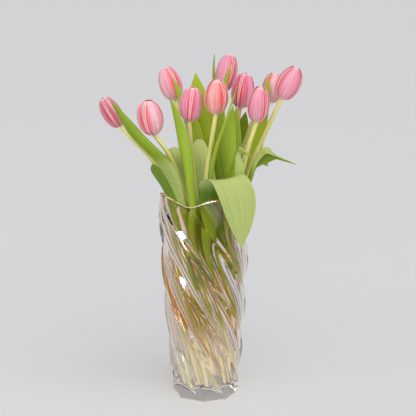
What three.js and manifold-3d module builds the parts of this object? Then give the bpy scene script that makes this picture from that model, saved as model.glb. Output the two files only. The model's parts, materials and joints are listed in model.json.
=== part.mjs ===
import * as THREE from 'three';
import { mergeVertices } from 'three/addons/utils/BufferGeometryUtils.js';
import Module from 'manifold-3d';

// Ten tulips with their leaves, standing in a twisted eight-ribbed glass vase part filled with water.
// Millimetres: X to the right, Y away from the viewer, Z up. The origin is the centre of the vase's
// flat underside. A bearing is an angle in plan in degrees, 0 towards the viewer and 90 to the right.

const wasm = await Module();
wasm.setup();

// ---------------------------------------------------------------- driving dimensions

const VASE = {
  height: 260, // mean height of the wavy rim
  footRadius: 41.5, // over the ribs, at the table
  mouthRadius: 57.5, // over the ribs, at the rim
  bow: 2.7, // how far the side swells past a straight taper
  ribs: 8,
  grooveDepth: 0.092, // of the radius
  twist: 0.76, // degrees per millimetre; the ribs go right as they go down
  ribAtRim: 22.4, // bearing of a high rib at the mean rim height
  rimWave: 4.5, // every second rib ends this much above the mean, the others below
  waveStart: 140, // height where the wave begins
  wall: 3,
  floor: 14,
  floorCorner: 4, // how far the inner floor draws in past the wall
  footRounding: 2.2,
  rimRounding: 1,
  rowStep: 20,
  sidesPerRib: 5,
};
const CLEARANCE = 0.3; // kept between touching pieces
const WATER_LEVEL = 60; // a multiple of the vase's row step

const STEM = { radius: 3.1, topRadius: 2.7, sides: 8, end: 16, mouthHeight: 250, gather: 0.55, steps: 9 };
// What all leaves share unless one has its own value. Along a leaf, 0 is its foot and 1 its tip.
const LEAF = {
  thickness: 0.8,
  columns: 4,
  step: 18, // length of one piece of leaf, about
  sheathGap: 0.45, // between the stem and the sheath round it
  sheathHalfWidth: 7.7,
  sheathFold: 200, // the angle that the section bends through where it wraps the stem
  opensFrom: 0, // from here the fold opens out
  swellFrom: 0.2, // from here the width swells
  taper: 2.1, // the higher, the fuller the leaf towards its tip
  facesFrom: 0.2, // its back starts turning here and faces as at the tip by facesBy
  facesBy: 1,
  onSide: 0, // how far it turns on its side between sideFrom and sideBy
  sideFrom: 0.45,
  sideBy: 0.8,
};
const PETAL = {
  whorl: 3, // an outer and an inner ring of three petals each
  innerInset: 1.3, // how far the inner three lie behind the outer three
  innerLength: 0.97,
  cusp: 0.12, // how far a petal's edges fall short of its tip
  flare: 4, // how far the tips of a fully open bud lean out
  hollowFloor: 0.86, // height of the hollow between the tips, in bud lengths
  outerColumns: 5,
  innerColumns: 3,
  rows: 8,
};

const GLASS = { color: 0xd8c6bc, roughness: 0.05, metalness: 0 };
const WATER = { color: 0xdde6e2, roughness: 0.02, metalness: 0 };
const STEM_GREEN = { color: 0xb9c26a, roughness: 0.6, metalness: 0 };
const LEAF_GREEN = { color: 0x6f9a2c, roughness: 0.55, metalness: 0 };
const PETAL_PINK = { color: 0xe48599, roughness: 0.6, metalness: 0 };

// Each tulip: the mouth of the vase where its stem passes [x, y], the points on its way up, the base
// and the tip of its head, the head's radius, the bearing that its first outer petal is turned to
// about its own axis, and how far the petal tips stand open.
const TULIPS = [
  { mouth: [-37, -12], way: [[-65, -11, 308], [-83, -8, 327]], base: [-101, -5, 346], tip: [-122, -8, 382],
    radius: 11.9, turn: 55, open: 0.1 },
  { mouth: [-20, -25], way: [[-41, -29, 314]], base: [-59, -30, 341], tip: [-68, -36, 383],
    radius: 15.4, turn: 40, open: 0.5 },
  { mouth: [-18, 30], way: [[-25, 34, 312]], base: [-34, 38, 370], tip: [-47, 46, 411],
    radius: 14.1, turn: -30, open: 0.15 },
  { mouth: [-9, -14], way: [[-12, -16, 287], [-15, -19, 319]], base: [-17, -22, 355], tip: [-12, -24, 397],
    radius: 14.1, turn: 58, open: 0.3 },
  { mouth: [3, -31], way: [[3, -33, 285], [10, -36, 335]], base: [15, -38, 367], tip: [17, -42, 409],
    radius: 14.2, turn: -17, open: 0.1 },
  { mouth: [8, 38], way: [[14, 42, 315]], base: [23, 46, 379], tip: [35, 54, 425],
    radius: 13.4, turn: -33, open: 0.1 },
  { mouth: [22, 12], way: [[40, 17, 336]], base: [45, 20, 363], tip: [52, 22, 406],
    radius: 13.8, turn: 40, open: 0.3 },
  { mouth: [30, -16], way: [[44, -16, 283], [55, -15, 324]], base: [64, -14, 352], tip: [69, -18, 396],
    radius: 13.3, turn: -15, open: 0.15 },
  { mouth: [26, 29], way: [[52, 41, 316], [66, 48, 348]], base: [83, 52, 363], tip: [90, 60, 400],
    radius: 13.1, turn: 10, open: 0.15 },
  { mouth: [42, 2], way: [[51, 2, 279], [72, 5, 326]], base: [95, 8, 376], tip: [114, 8, 415],
    radius: 14.6, turn: 0, open: 0.1 },
];

// Each leaf: the stem it clasps (counted from 1), the height where its sheath starts, the bearing that
// its back faces there and at the tip, its full width and where that is, the fold of its open section
// and where it is fully open, and the way of its middle line from the mouth of the vase to the tip.
// A leaf with a narrow end shrinks to that half width by the share narrowBy, and then to its tip.
const LEAVES = {
  left_long: {
    stem: 2, sheath: 205, back: -50, backAtTip: -25, width: 31, widest: 0.5, fold: 85, opens: 0.55,
    way: [[-30, -34, 256], [-38, -37, 279], [-50, -41, 304], [-65, -43, 322], [-79, -40, 338],
      [-90, -34, 353], [-101, -28, 368], [-111, -25, 382]],
  },
  left_low: {
    stem: 1, sheath: 190, back: -60, backAtTip: -30, width: 26, widest: 0.85, fold: 60, opens: 0.8,
    way: [[-42, -18, 256], [-46, -20, 272], [-53, -21, 286], [-62, -20, 302]],
  },
  front_long: {
    stem: 2, sheath: 140, back: 20, backAtTip: -15, width: 16, widest: 0.7, fold: 80, opens: 0.85,
    opensFrom: 0.45,
    way: [[-13, -44, 258], [-16, -46, 279], [-18, -45, 299], [-22, -42, 323], [-27, -38, 347],
      [-33, -37, 368], [-40, -36, 388]],
  },
  back_pointed: {
    stem: 3, sheath: 200, back: 38, backAtTip: -10, width: 20, widest: 0.6, fold: 60, opens: 0.5,
    way: [[-6, 15, 258], [-6, 15, 301], [-10, 14, 332], [-19, 11, 358], [-28, 9, 382], [-36, 8, 402]],
  },
  back_left: {
    stem: 3, sheath: 150, back: -80, backAtTip: 0, width: 36, widest: 0.7, fold: 50, opens: 0.65,
    swellFrom: 0.52, onSide: 20, step: 12,
    way: [[-27, 23, 256], [-32, 17, 280], [-37, 12, 297], [-39, 15, 309], [-40, 23, 313], [-41, 30, 307]],
  },
  middle_arch: {
    stem: 4, sheath: 150, back: 153, backAtTip: 180, width: 40, widest: 0.64, fold: 8, opens: 0.6,
    swellFrom: 0.4, step: 12,
    way: [[-3, -2, 258], [-5, -4, 285], [-5, -5, 309], [-5, -1, 323], [-5, 5, 327], [-5, 9, 323]],
  },
  back_wide: {
    stem: 6, sheath: 150, back: -27, backAtTip: 0, width: 31, widest: 0.76, fold: 50, opens: 0.6,
    way: [[2, 26, 256], [3, 25, 284], [1, 25, 322], [-2, 26, 360], [-7, 26, 385], [-9, 26, 406]],
  },
  back_blade: {
    stem: 6, sheath: 205, back: 63, backAtTip: 60, width: 15, widest: 0.5, fold: 70, opens: 0.5,
    way: [[21, 34, 260], [24, 33, 312], [20, 32, 362], [14, 32, 399], [14, 31, 429]],
  },
  right_blade: {
    stem: 7, sheath: 150, back: -60, backAtTip: -20, width: 18, widest: 0.4, fold: 60, opens: 0.5,
    way: [[11.4, 9, 256], [16.4, 7.4, 288], [20, 6, 347], [22, 8, 377], [28, 12, 401], [36, 18, 420]],
  },
  right_front: {
    stem: 8, sheath: 160, back: -140, backAtTip: 10, width: 26, widest: 0.55, fold: 50, opens: 0.45,
    swellFrom: 0.4,
    way: [[24, -12, 258], [26, -12, 290], [29, -12, 320], [33, -10, 345], [36, -6, 371]],
  },
  right_pale: {
    stem: 7, sheath: 212, back: 42, backAtTip: 10, width: 18, widest: 0.62, fold: 30, opens: 0.6,
    way: [[29, 1.6, 260], [35, 4.6, 285], [38, 6, 310], [39, 6, 335], [40, 7, 368]],
  },
  narrow_front: {
    stem: 5, sheath: 205, back: 76, backAtTip: 60, width: 13, widest: 0.45, fold: 80, opens: 0.5,
    way: [[11, -33, 256], [11, -34, 288], [13, -38, 308], [17, -44, 327], [24, -50, 349], [30, -53, 368],
      [35, -54, 386], [40, -54, 402]],
  },
  drooping: {
    stem: 5, sheath: 150, back: 20, backAtTip: 10, width: 45, widest: 0.68, fold: 35, opens: 0.6,
    onSide: 8, step: 12,
    way: [[10, -42, 256], [12, -45, 274], [18, -51, 288], [29, -58, 290], [38, -63, 275],
      [43, -64, 250], [45, -62, 208]],
  },
  small_curl: {
    stem: 8, sheath: 222, back: 17, backAtTip: -40, width: 25, widest: 0.6, fold: 100, opens: 0.3,
    sheathFold: 170, swellFrom: 0.25, taper: 0.9, facesBy: 0.8, onSide: 50, step: 10,
    way: [[33, -25, 257], [37, -30, 283], [38, -33, 304], [39, -36, 318], [43, -40, 324], [50, -41, 320],
      [57, -39, 314]],
  },
  right_curl: {
    stem: 10, sheath: 210, back: 20, backAtTip: -90, width: 46, widest: 0.73, fold: 200, opens: 0.5,
    opensFrom: 0.3, sheathFold: 180, swellFrom: 0.55, narrow: 4, narrowBy: 0.84, facesBy: 0.45, onSide: 50,
    sideFrom: 0.45, sideBy: 0.62, step: 8,
    way: [[42, -9, 257], [50, -12, 272], [56, -13, 288], [61, -13, 303], [68, -12, 314], [78, -11, 317],
      [87, -9, 310], [113, 0, 296]],
  },
  right_tall: {
    stem: 10, sheath: 150, back: 200, backAtTip: 175, width: 20, widest: 0.6, fold: 55, opens: 0.6,
    way: [[38, 15, 256], [43, 16, 272], [57, 17, 298], [66, 19, 325], [73, 23, 356], [78, 27, 381],
      [81, 29, 403]],
  },
  right_back: {
    stem: 9, sheath: 185, back: 146, backAtTip: 170, width: 22, widest: 0.8, fold: 100, opens: 0.6,
    way: [[31, 35, 256], [36, 41, 276], [43, 49, 302], [49, 53, 332], [53, 52, 352]],
  },
};

// ---------------------------------------------------------------- closed solids from rings and grids

const rad = THREE.MathUtils.degToRad;
const mix = THREE.MathUtils.lerp;
const vec = (x, y, z) => new THREE.Vector3(x, y, z);
// The places -1 to 1 across a blade in equal steps, each turned into a point.
const evenly = (steps, place) => Array.from({ length: steps + 1 }, (_, i) => place((2 * i) / steps - 1));
const bearing = (degrees) => vec(Math.sin(rad(degrees)), -Math.cos(rad(degrees)), 0);

function solidFrom(points, faces) {
  const geometry = new THREE.BufferGeometry();
  geometry.setAttribute('position', new THREE.Float32BufferAttribute(points.flatMap((p) => p.toArray()), 3));
  geometry.setIndex(faces.flat());
  return geometry;
}

// A solid between rings of equal length that turn anticlockwise when seen from where they lead to.
// Each patch is split along its shorter diagonal. Both ends are fans about the ring's middle, or about
// a point given for the last one.
function loft(rings, lastMiddle = null) {
  const count = rings[0].length;
  const points = rings.flat();
  const faces = [];
  for (let row = 0; row + 1 < rings.length; row++) {
    for (let i = 0; i < count; i++) {
      const a = row * count + i;
      const b = row * count + ((i + 1) % count);
      const [c, d] = [b + count, a + count];
      const rising = points[a].distanceTo(points[c]) <= points[b].distanceTo(points[d]);
      if (rising) faces.push([a, b, c], [a, c, d]);
      else faces.push([a, b, d], [b, c, d]);
    }
  }
  const middle = (ring) => ring.reduce((sum, p) => sum.add(p), vec(0, 0, 0)).divideScalar(count);
  const first = points.push(middle(rings[0])) - 1;
  const last = points.push(lastMiddle ?? middle(rings.at(-1))) - 1;
  const top = (rings.length - 1) * count;
  for (let i = 0; i < count; i++) {
    const next = (i + 1) % count;
    faces.push([first, next, i], [last, top + i, top + next]);
  }
  return solidFrom(points, faces);
}

// A thin solid between a front and a back grid of points, split into triangles alike on both.
// The grids are [row][column]; the front is seen with rows going up and columns going right.
function sheet(front, back) {
  const rows = front.length;
  const columns = front[0].length;
  const points = [...front.flat(), ...back.flat()];
  const at = (row, column) => row * columns + column;
  const behind = rows * columns;
  const faces = [];
  const quad = (a, b, c, d) => faces.push([a, b, c], [a, c, d]);
  for (let row = 0; row + 1 < rows; row++) {
    for (let column = 0; column + 1 < columns; column++) {
      const [a, b] = [at(row, column), at(row, column + 1)];
      const [c, d] = [at(row + 1, column + 1), at(row + 1, column)];
      quad(a, b, c, d);
      quad(behind + a, behind + d, behind + c, behind + b);
    }
    const [left, leftUp] = [at(row, 0), at(row + 1, 0)];
    const [right, rightUp] = [at(row, columns - 1), at(row + 1, columns - 1)];
    quad(behind + left, left, leftUp, behind + leftUp);
    quad(right, behind + right, behind + rightUp, rightUp);
  }
  for (let column = 0; column + 1 < columns; column++) {
    const [low, lowNext] = [at(0, column), at(0, column + 1)];
    const [high, highNext] = [at(rows - 1, column), at(rows - 1, column + 1)];
    quad(behind + low, behind + lowNext, lowNext, low);
    quad(high, highNext, behind + highNext, behind + high);
  }
  return solidFrom(points, faces);
}

function toManifold(geometry) {
  const bare = geometry.clone();
  bare.deleteAttribute('normal');
  bare.deleteAttribute('uv');
  const merged = mergeVertices(bare);
  return new wasm.Manifold(new wasm.Mesh({
    numProp: 3,
    vertProperties: Float32Array.from(merged.attributes.position.array),
    triVerts: Uint32Array.from(merged.index.array),
  }));
}

function fromManifold(solid) {
  const mesh = solid.getMesh();
  const geometry = new THREE.BufferGeometry();
  geometry.setAttribute('position', new THREE.BufferAttribute(Float32Array.from(mesh.vertProperties), 3));
  geometry.setIndex(new THREE.BufferAttribute(Uint32Array.from(mesh.triVerts), 1));
  return geometry;
}

const bouquet = new THREE.Group();

function addPiece(name, geometry, look) {
  geometry.computeVertexNormals();
  const mesh = new THREE.Mesh(geometry, new THREE.MeshStandardMaterial(look));
  mesh.name = name;
  bouquet.add(mesh);
  return mesh;
}

// ---------------------------------------------------------------- the vase and its water

function ribRadius(z) {
  const up = z / VASE.height;
  return mix(VASE.footRadius, VASE.mouthRadius, up) + VASE.bow * Math.sin(Math.PI * up);
}

// One ring round the vase, following its ribs, drawn in by inset from the outer face.
function vaseRing(z, inset) {
  const ring = [];
  const sides = VASE.ribs * VASE.sidesPerRib;
  const blend = Math.max(0, (z - VASE.waveStart) / (VASE.height - VASE.waveStart)) ** 2;
  for (let i = 0; i < sides; i++) {
    const fromHighRib = (360 / sides) * i;
    const fromRib = Math.abs(((i / VASE.sidesPerRib + 0.5) % 1) - 0.5) * 2; // 0 on a rib, 1 in a groove
    const height = z + VASE.rimWave * Math.cos(rad(fromHighRib * VASE.ribs / 2)) * blend;
    const angle = VASE.ribAtRim + fromHighRib + VASE.twist * (VASE.height - height);
    const hollow = VASE.grooveDepth * (1 - (1 - fromRib) ** 2);
    const radius = ribRadius(height) * (1 - hollow) - inset;
    ring.push(bearing(angle).multiplyScalar(radius).setZ(height));
  }
  return ring;
}

function rowHeights(from, to) {
  const heights = [];
  for (let z = from; z <= to; z += VASE.rowStep) heights.push(z);
  return heights;
}

function vase() {
  const { height, wall, rowStep, rimRounding } = VASE;
  const rows = rowHeights(rowStep, height - rowStep);
  const shoulder = height - rimRounding;
  const outside = [...rows, shoulder].map((z) => vaseRing(z, 0));
  const inside = [shoulder, ...rows.toReversed()].map((z) => vaseRing(z, wall));
  return loft([
    vaseRing(0, VASE.footRounding),
    vaseRing(VASE.footRounding, 0),
    ...outside,
    vaseRing(height + rimRounding / 2, wall / 2),
    ...inside,
    vaseRing(VASE.floor, wall + VASE.floorCorner),
  ]);
}

// The water fills the vase to its level, with a plain hole where each stem stands.
function water() {
  const inset = VASE.wall + 1.5 * CLEARANCE;
  const walls = rowHeights(VASE.rowStep, WATER_LEVEL).map((z) => vaseRing(z, inset));
  let body = toManifold(loft([vaseRing(VASE.floor + 2 * CLEARANCE, inset + VASE.floorCorner), ...walls]));
  for (const tulip of TULIPS) body = body.subtract(toManifold(stemHole(tulip)));
  return fromManifold(body);
}

// ---------------------------------------------------------------- stems

function stemFoot({ mouth: [x, y] }) {
  return vec(x * STEM.gather, y * STEM.gather, STEM.end);
}

function stemMouth({ mouth: [x, y] }) {
  return vec(x, y, STEM.mouthHeight);
}

// A point of the stem's straight part at a height.
function stemPoint(tulip, z) {
  return stemFoot(tulip).lerp(stemMouth(tulip), (z - STEM.end) / (STEM.mouthHeight - STEM.end));
}

function roundRing(centre, direction, radius) {
  const across = vec(0, 1, 0).cross(direction).normalize();
  const along = direction.clone().cross(across);
  const ring = [];
  for (let i = 0; i < STEM.sides; i++) {
    const angle = (2 * Math.PI * i) / STEM.sides;
    ring.push(centre.clone()
      .addScaledVector(across, radius * Math.cos(angle))
      .addScaledVector(along, radius * Math.sin(angle)));
  }
  return ring;
}

function stemHole(tulip) {
  const direction = stemMouth(tulip).sub(stemFoot(tulip)).normalize();
  const overshoot = VASE.rowStep / 4;
  const hole = STEM.radius + 1.5 * CLEARANCE;
  const ends = [VASE.floor - overshoot, WATER_LEVEL + overshoot];
  return loft(ends.map((z) => roundRing(stemPoint(tulip, z), direction, hole)));
}

// Straight from its foot to the vase's mouth, then curved by way of its points to the head.
function stem(tulip) {
  const foot = stemFoot(tulip);
  const mouth = stemMouth(tulip);
  const lower = stemPoint(tulip, STEM.mouthHeight - 2 * VASE.rowStep);
  const base = vec(...tulip.base);
  const down = base.clone().sub(vec(...tulip.tip)).normalize();
  const top = base.clone().addScaledVector(down, CLEARANCE);
  const route = new THREE.CatmullRomCurve3([lower, mouth, ...tulip.way.map((p) => vec(...p)), top]);
  const straight = mouth.clone().sub(foot).normalize();
  const rings = [roundRing(foot, straight, STEM.radius)];
  for (let i = 0; i <= STEM.steps; i++) {
    const t = i / STEM.steps;
    const last = i === STEM.steps;
    const direction = last ? down.clone().negate() : route.getTangentAt(t);
    rings.push(roundRing(route.getPointAt(t), direction, mix(STEM.radius, STEM.topRadius, t)));
  }
  return loft(rings);
}

// ---------------------------------------------------------------- leaves

// Half the leaf's width at a share s of its length: a narrow sheath, a long swell and a pointed tip.
function leafHalfWidth(leaf, s) {
  const half = leaf.width / 2;
  if (s < leaf.widest) {
    const rise = THREE.MathUtils.smoothstep(s, leaf.swellFrom, leaf.widest);
    return mix(leaf.sheathHalfWidth, half, rise);
  }
  if (leaf.narrowBy) {
    const waist = mix(half, leaf.narrow, THREE.MathUtils.smoothstep(s, leaf.widest, leaf.narrowBy));
    return Math.max(waist * Math.min(1, (1 - s) / (1 - leaf.narrowBy)), leaf.thickness);
  }
  const past = (s - leaf.widest) / (1 - leaf.widest);
  return Math.max(half * (1 - past ** leaf.taper), leaf.thickness);
}

// The angle that the section bends through: wrapped round the stem at first, soon opening out.
function leafFold(leaf, s) {
  const opened = THREE.MathUtils.smoothstep(s, leaf.opensFrom, leaf.opens);
  return mix(leaf.sheathFold, leaf.fold, opened);
}

function leafBlade(shape) {
  const leaf = { ...LEAF, ...shape };
  const tulip = TULIPS[leaf.stem - 1];
  const out = bearing(leaf.back).multiplyScalar(STEM.radius + leaf.sheathGap + leaf.thickness);
  const sheath = [leaf.sheath, leaf.sheath + VASE.rowStep].map((z) => stemPoint(tulip, z).add(out));
  const middle = [...sheath, ...leaf.way.map((p) => vec(...p))];
  const route = new THREE.CatmullRomCurve3(middle, false, 'centripetal');
  const steps = Math.round(route.getLength() / leaf.step);
  const front = [];
  const back = [];
  for (let row = 0; row <= steps; row++) {
    const s = row / steps;
    const along = route.getTangentAt(s);
    const turned = THREE.MathUtils.smoothstep(s, LEAF.facesFrom, leaf.facesBy);
    const facing = mix(leaf.back, leaf.backAtTip, turned);
    const side = rad(leaf.onSide) * THREE.MathUtils.smoothstep(s, leaf.sideFrom, leaf.sideBy);
    const across = bearing(facing + 90).multiplyScalar(Math.cos(side)).setZ(Math.sin(side));
    const inward = along.clone().cross(across).normalize();
    const half = leafHalfWidth(leaf, s);
    const bend = rad(leafFold(leaf, s)) / 2;
    const point = (u, lift) => {
      const radius = half / bend;
      return route.getPointAt(s)
        .addScaledVector(across, (radius - lift) * Math.sin(u * bend))
        .addScaledVector(inward, radius - (radius - lift) * Math.cos(u * bend));
    };
    back.push(evenly(leaf.columns, (u) => point(u, leaf.thickness / 2)));
    front.push(evenly(leaf.columns, (u) => point(u, -leaf.thickness / 2)));
  }
  return sheet(front, back);
}

// ---------------------------------------------------------------- heads

// The bud's outline, from its base at share 0 to its tip at share 1: distance up and out.
function budPoint(s, length, radius) {
  const turn = Math.PI * mix(0.07, 0.93, s);
  const up = ((1 - Math.cos(turn)) / 2) ** 1.1;
  return { up: length * up, out: radius * Math.sin(turn) ** 0.95 };
}

// Half the angle that an outer petal spans round the bud: widest low down, then narrowing to its tip.
function petalHalfAngle(s) {
  return 56 * (1 - 0.12 * (1 - s) ** 4 - 0.28 * s ** 2) * Math.sqrt(1 - 0.9 * s ** 8);
}

// A point of a petal at share s of its height and u, -1 to 1, across it. Near the top its edges
// fall away from the middle, so that each petal ends in a point.
function petalPoint(tulip, length, s, u, angle, inset) {
  const share = s - PETAL.cusp * u * u * s ** 6;
  const { up, out } = budPoint(share, length, tulip.radius);
  const lean = tulip.open * PETAL.flare * share ** 3;
  return bearing(angle).multiplyScalar(out + lean - inset).setZ(up);
}

// One ring round the bud: the three outer petals, and between them the strips that show of the
// three inner petals, which lie deeper and end lower.
function budRing(tulip, length, s) {
  const ring = [];
  const spread = 180 / PETAL.whorl;
  const half = petalHalfAngle(s);
  for (let i = 0; i < PETAL.whorl; i++) {
    const facing = 2 * spread * i;
    ring.push(...evenly(PETAL.outerColumns, (u) => petalPoint(tulip, length, s, u, facing + u * half, 0)));
    ring.push(...evenly(PETAL.innerColumns, (u) => petalPoint(
      tulip, length * PETAL.innerLength, s, u, facing + spread + u * (spread - half), PETAL.innerInset)));
  }
  return ring;
}

// The petal tips stand round a hollow at the top of the bud.
function head(tulip) {
  const length = vec(...tulip.base).distanceTo(vec(...tulip.tip));
  const rings = [];
  for (let row = 0; row <= PETAL.rows; row++) rings.push(budRing(tulip, length, row / PETAL.rows));
  return loft(rings, vec(0, 0, length * PETAL.hollowFloor));
}

// ---------------------------------------------------------------- assembly

addPiece('vase', vase(), GLASS);
addPiece('water', water(), WATER);
TULIPS.forEach((tulip, i) => {
  const number = String(i + 1).padStart(2, '0');
  addPiece(`stem_${number}`, stem(tulip), STEM_GREEN);
  const bloom = addPiece(`bloom_${number}`, head(tulip), PETAL_PINK);
  const axis = vec(...tulip.tip).sub(vec(...tulip.base)).normalize();
  bloom.position.set(...tulip.base);
  bloom.quaternion.setFromUnitVectors(vec(0, 0, 1), axis);
  bloom.rotateZ(rad(tulip.turn));
});
for (const [name, shape] of Object.entries(LEAVES)) addPiece(`leaf_${name}`, leafBlade(shape), LEAF_GREEN);

export default bouquet;
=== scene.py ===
import json
import math
from collections import namedtuple

import bpy
from mathutils import Matrix, Vector

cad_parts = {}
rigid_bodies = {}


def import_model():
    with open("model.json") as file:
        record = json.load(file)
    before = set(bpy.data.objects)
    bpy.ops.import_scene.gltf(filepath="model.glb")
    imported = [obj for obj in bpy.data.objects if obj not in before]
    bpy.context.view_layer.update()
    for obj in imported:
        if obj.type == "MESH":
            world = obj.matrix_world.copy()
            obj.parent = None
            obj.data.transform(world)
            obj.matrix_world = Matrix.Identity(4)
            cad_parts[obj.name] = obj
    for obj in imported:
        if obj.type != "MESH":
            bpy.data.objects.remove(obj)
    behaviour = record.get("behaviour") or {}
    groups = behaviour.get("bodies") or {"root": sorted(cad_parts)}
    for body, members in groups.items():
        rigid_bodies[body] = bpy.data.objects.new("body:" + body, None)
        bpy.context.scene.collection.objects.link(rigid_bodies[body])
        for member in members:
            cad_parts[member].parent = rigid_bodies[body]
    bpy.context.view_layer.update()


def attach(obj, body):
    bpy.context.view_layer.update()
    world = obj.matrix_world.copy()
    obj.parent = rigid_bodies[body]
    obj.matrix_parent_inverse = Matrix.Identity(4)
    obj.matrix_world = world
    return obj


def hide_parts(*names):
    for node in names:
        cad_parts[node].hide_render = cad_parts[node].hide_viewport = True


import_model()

# ---------------------------------------------------------------- the glass vase
# A tall vase of clear lustred glass, blown into a mould with eight sharp ribs and turned while hot, so that
# the ribs run down to the right. Every second one ends in a raised corner of the wavy rim. A coat of pink,
# blue-grey and amber lustre lies in streaks along them. The vase stands on its own flat underside.

MM = 0.001  # sizes are in millimetres, as in the CAD source, and are scaled by this on placing

HEIGHT = 260  # mean height of the wavy rim
FOOT_RADIUS = 41.5
MOUTH_RADIUS = 57.5
BOW = 2.7  # how far the side swells past a straight taper
RIBS = 8
GROOVE_DEPTH = 0.092  # of the radius
RIB_ROUNDING = 0.07  # of half a groove
TWIST = 0.76  # degrees per millimetre
RIB_AT_RIM = 22.4  # bearing of a high rib at the mean rim height
RIM_WAVE = 4.5  # how far the high ribs end above the mean, and the others below it
WAVE_START = 140  # height where the wave begins
WALL = 3  # at the rim
GROOVE_WALL = 2.4  # in the bottom of a groove, lower down
INNER_RELIEF = -1.0  # of the outer ribs' depth; below 0 the inner face bulges where the outer is hollow
THINS_FROM = 165  # height from which the wall thins to the rim
RIM_ROUNDING = 1
FLOOR = 14
FLOOR_CORNER = 4  # how far the inner floor draws in past the wall
FOOT_ROUNDING = 2.2
GLASS_COLUMNS = 288
GLASS_ROW = 4  # between two rows of the wall
GLASS_CREASE = 60  # degrees; sharper edges stay sharp
ONE_POINT = 0.02  # points nearer to each other than this are merged
NO_WIDTH = 0.001  # faces narrower than this are taken out


def bearing(degrees):
    """A level direction: 0 degrees is towards the viewer and 90 to the right."""
    turn = math.radians(degrees)
    return Vector((math.sin(turn), -math.cos(turn), 0))


def mix(low, high, share):
    return low + (high - low) * share


def smoothstep(value, start, end):
    """From 0 at start to 1 at end, level at both."""
    share = min(1, max(0, (value - start) / (end - start)))
    return share * share * (3 - 2 * share)


def vase_point(round_share, z, inset, relief=1):
    """A point of the wall, at a share of the way round from a high rib and an inset from the outer face."""
    from_high_rib = 360 * round_share
    sharp = abs((round_share * RIBS + 0.5) % 1 - 0.5) * 2  # 0 on a rib and 1 in the middle of a groove
    rounded = min(1, math.hypot(sharp, RIB_ROUNDING) - RIB_ROUNDING * (1 - sharp))
    rise = max(0, (z - WAVE_START) / (HEIGHT - WAVE_START)) ** 2
    height = z + RIM_WAVE * math.cos(math.radians(from_high_rib * RIBS / 2)) * rise
    hollow = relief * GROOVE_DEPTH * (1 - (1 - rounded) ** 2)
    up = height / HEIGHT
    radius = mix(FOOT_RADIUS, MOUTH_RADIUS, up) + BOW * math.sin(math.pi * up)
    angle = RIB_AT_RIM + from_high_rib + TWIST * (HEIGHT - height)
    return bearing(angle) * (radius * (1 - hollow) - inset) + Vector((0, 0, height))


def inner_point(round_share, z, drawn_in):
    """A point of the inner face, which bulges out behind each groove: the wall is a row of lenses."""
    thinned = smoothstep(z, THINS_FROM, HEIGHT)
    relief = mix(INNER_RELIEF, 1, thinned)
    inset = mix(GROOVE_WALL, WALL, thinned) + (1 - relief) * GROOVE_DEPTH * MOUTH_RADIUS
    return vase_point(round_share, z, inset + drawn_in, relief)


def wall_point(round_share, z, inset):
    """A point of the outer face or the rim, or, from an inset of the wall's thickness on, of the inside."""
    if inset < WALL:
        return vase_point(round_share, z, inset)
    return inner_point(round_share, z, inset - WALL)


def select_only(piece):
    bpy.ops.object.select_all(action="DESELECT")
    piece.select_set(True)
    bpy.context.view_layer.objects.active = piece


def finish_mesh(piece, materials, crease=40):
    """Closes a wrapped grid's seams, turns its faces outwards and smooths it up to a crease in degrees."""
    select_only(piece)
    bpy.ops.object.mode_set(mode="EDIT")
    bpy.ops.mesh.select_all(action="SELECT")
    bpy.ops.mesh.remove_doubles(threshold=ONE_POINT * MM)
    bpy.ops.mesh.dissolve_degenerate(threshold=NO_WIDTH * MM)
    if len(materials) == 1:  # a thickened sheet, which has two, faces outwards already
        bpy.ops.mesh.normals_make_consistent(inside=False)
    bpy.ops.object.mode_set(mode="OBJECT")
    bpy.ops.object.shade_smooth_by_angle(angle=math.radians(crease))
    piece.data.materials.clear()
    for material in materials:
        piece.data.materials.append(material)


def wrapped_grid(name, columns, rows, place):
    """A grid laid where place(across, along) says; both run from 0 to 1, and the UV map keeps them."""
    bpy.ops.object.select_all(action="DESELECT")
    bpy.ops.mesh.primitive_grid_add(x_subdivisions=columns, y_subdivisions=rows, size=2)
    piece = bpy.context.object
    piece.name = name
    for vertex in piece.data.vertices:
        vertex.co = place((vertex.co.x + 1) / 2, (vertex.co.y + 1) / 2) * MM
    return piece


def rounded_piece(name, rows, point):
    """A closed piece round the vase's axis, from rows of (height, inset). On the axis the inset is None."""
    last = len(rows) - 1

    def place(across, along):
        z, inset = rows[round(along * last)]
        return Vector((0, 0, z)) if inset is None else point(across, z, inset)

    return wrapped_grid(name, GLASS_COLUMNS, last, place)


def set_inputs(tree, node, inputs):
    """Gives a node's inputs their values; a value that is another node's socket is linked."""
    for socket, value in inputs.items():
        if isinstance(value, bpy.types.NodeSocket):
            tree.links.new(value, node.inputs[socket])
        else:
            node.inputs[socket].default_value = value


def add_node(tree, kind, inputs=None, **settings):
    node = tree.nodes.new(kind)
    for setting, value in settings.items():
        setattr(node, setting, value)
    set_inputs(tree, node, inputs or {})
    return node


def maths(tree, operation, first, second=0.0, third=0.0):
    return add_node(tree, "ShaderNodeMath", {0: first, 1: second, 2: third}, operation=operation).outputs[0]


def ramp(tree, value, start, end, low=0.0, high=1.0):
    """Smoothly from low at start to high at end."""
    inputs = {"Value": value, "From Min": start, "From Max": end, "To Min": low, "To Max": high}
    return add_node(tree, "ShaderNodeMapRange", inputs, interpolation_type="SMOOTHSTEP").outputs[0]


def colour_mix(tree, share, low, high):
    return add_node(tree, "ShaderNodeMix", {0: share, 6: low, 7: high}, data_type="RGBA").outputs[2]


def bumped(tree, height, strength, depth):
    """A normal that follows a height between 0 and 1 over a depth in millimetres."""
    inputs = {"Strength": strength, "Distance": depth * MM, "Height": height}
    return add_node(tree, "ShaderNodeBump", inputs).outputs[0]


def uv_of(tree):
    """The across and along sockets of the piece's UV map."""
    place = add_node(tree, "ShaderNodeUVMap", uv_map="UVMap").outputs[0]
    split = add_node(tree, "ShaderNodeSeparateXYZ", {0: place})
    return split.outputs[0], split.outputs[1]


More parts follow.
